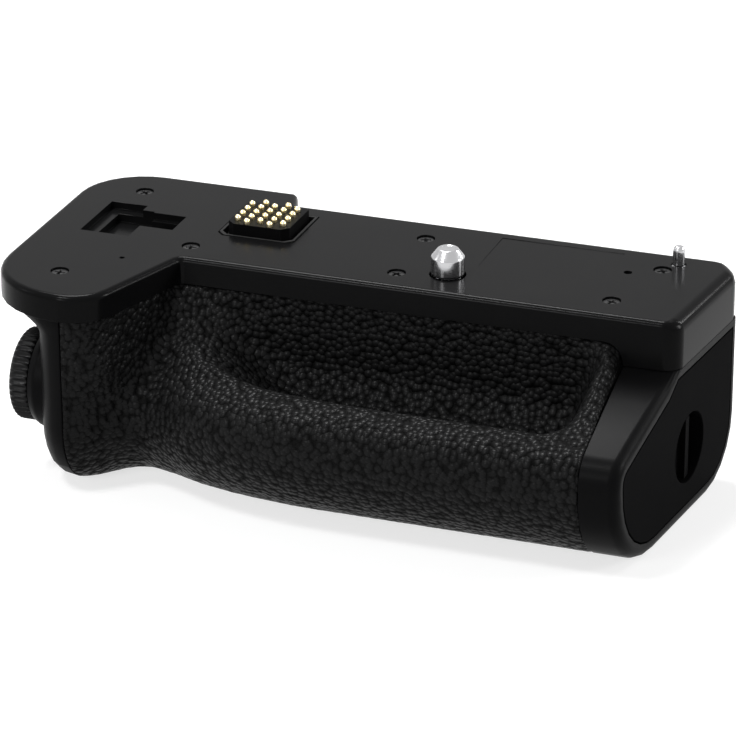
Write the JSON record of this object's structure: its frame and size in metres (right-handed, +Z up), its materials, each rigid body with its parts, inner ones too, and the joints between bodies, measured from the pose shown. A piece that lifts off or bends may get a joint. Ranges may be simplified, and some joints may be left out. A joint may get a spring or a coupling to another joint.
{
  "type": "camera battery grip",
  "caption": "Battery grip that screws under a camera: leather-covered hand grip with finger trough, battery tray with turn latch, tripod screw on a thumbwheel, sprung contacts and dials.",
  "frame": {"origin": "centre of the tripod screw's foot, on the mating plate's top face", "axes": "+X along the grip towards the battery tray's cap, +Y towards the viewer, +Z up out of the mating plate along the tripod screw"},
  "size_m": [0.1313, 0.0656, 0.0466],
  "materials": {
    "body_plastic": "fine matt",
    "satin_plastic": "satin",
    "leather": "pebbled",
    "gasket": "matt",
    "gold": "gold plated",
    "dark_screws": "blackened",
    "steel": "turned",
    "brass": "machined",
    "circuit_board": "lacquered",
    "ribbon": "film"
  },
  "bodies": {
    "grip": {"top_case": "satin_plastic", "front_case": "body_plastic", "bottom_case": "body_plastic", "rear_cover": "body_plastic", "shutter_housing": "body_plastic", "end_frame": "satin_plastic", "front_leather": "leather", "battery_bay": "body_plastic", "bay_contacts": "gold", "connector_block": "body_plastic", "connector_seal": "gasket", "locating_pin": "steel", "plate_screws": "dark_screws", "base_screws": "dark_screws", "screw_bearing": "brass", "chassis": "steel", "thumbwheel_axle": "steel", "tripod_bush": "steel", "dial_collar": "body_plastic", "shutter_switch": "satin_plastic", "rear_dial_axle": "steel", "dial_bracket": "steel", "button_switches": "satin_plastic", "main_board": "circuit_board", "flex_cable": "ribbon"},
    "tray": {"battery_tray": "body_plastic", "tray_cap": "satin_plastic", "tray_seal": "gasket"},
    "latch": {"latch_knob": "satin_plastic", "latch_tongue": "steel"},
    "contacts": {"contact_pins": "gold"},
    "screw": {"tripod_screw": "steel", "screw_gear": "brass", "retaining_ring": "steel"},
    "wheel": {"thumbwheel": "satin_plastic"},
    "dial": {"control_dial": "body_plastic"},
    "shutter": {"shutter_button": "satin_plastic"},
    "back_dial": {"rear_dial": "body_plastic"},
    "focus": {"focus_button": "satin_plastic"},
    "lock": {"lock_button": "satin_plastic"}
  },
  "joints": [
    {"name": "tray_slide", "type": "slide", "parent": "grip", "child": "tray", "axis": [1, 0, 0], "range_m": [0, 0.046]},
    {"name": "latch_turn", "type": "hinge", "parent": "tray", "child": "latch", "pos_m": [0.04772, -0.0016, -0.0272], "axis": [-1, 0, 0], "range_deg": [0, 90]},
    {"name": "contact_press", "type": "slide", "parent": "grip", "child": "contacts", "axis": [0, 0, -1], "range_m": [0, 0.0008], "stiffness_N_per_m": 400},
    {"name": "screw_spin", "type": "hinge", "parent": "grip", "child": "screw", "pos_m": [0, 0, 0], "axis": [0, 0, 1], "continuous": true},
    {"name": "wheel_spin", "type": "hinge", "parent": "grip", "child": "wheel", "pos_m": [0, 0.0138, -0.0084], "axis": [0, 0, 1], "continuous": true},
    {"name": "dial_spin", "type": "hinge", "parent": "grip", "child": "dial", "pos_m": [-0.072, -0.0184, -0.0236], "axis": [-1, 0, 0], "continuous": true},
    {"name": "shutter_press", "type": "slide", "parent": "grip", "child": "shutter", "axis": [1, 0, 0], "range_m": [0, 0.0012], "stiffness_N_per_m": 400},
    {"name": "rear_dial_spin", "type": "hinge", "parent": "grip", "child": "back_dial", "pos_m": [-0.056, 0.023, -0.0106], "axis": [0, 0, 1], "continuous": true},
    {"name": "focus_press", "type": "slide", "parent": "grip", "child": "focus", "axis": [0, -1, 0], "range_m": [0, 0.0007], "stiffness_N_per_m": 400},
    {"name": "lock_press", "type": "slide", "parent": "grip", "child": "lock", "axis": [0, -1, 0], "range_m": [0, 0.0007], "stiffness_N_per_m": 400}
  ],
  "couplings": [
    {"joint": "wheel_spin", "follows": "screw_spin", "ratio": -0.53333}
  ]
}
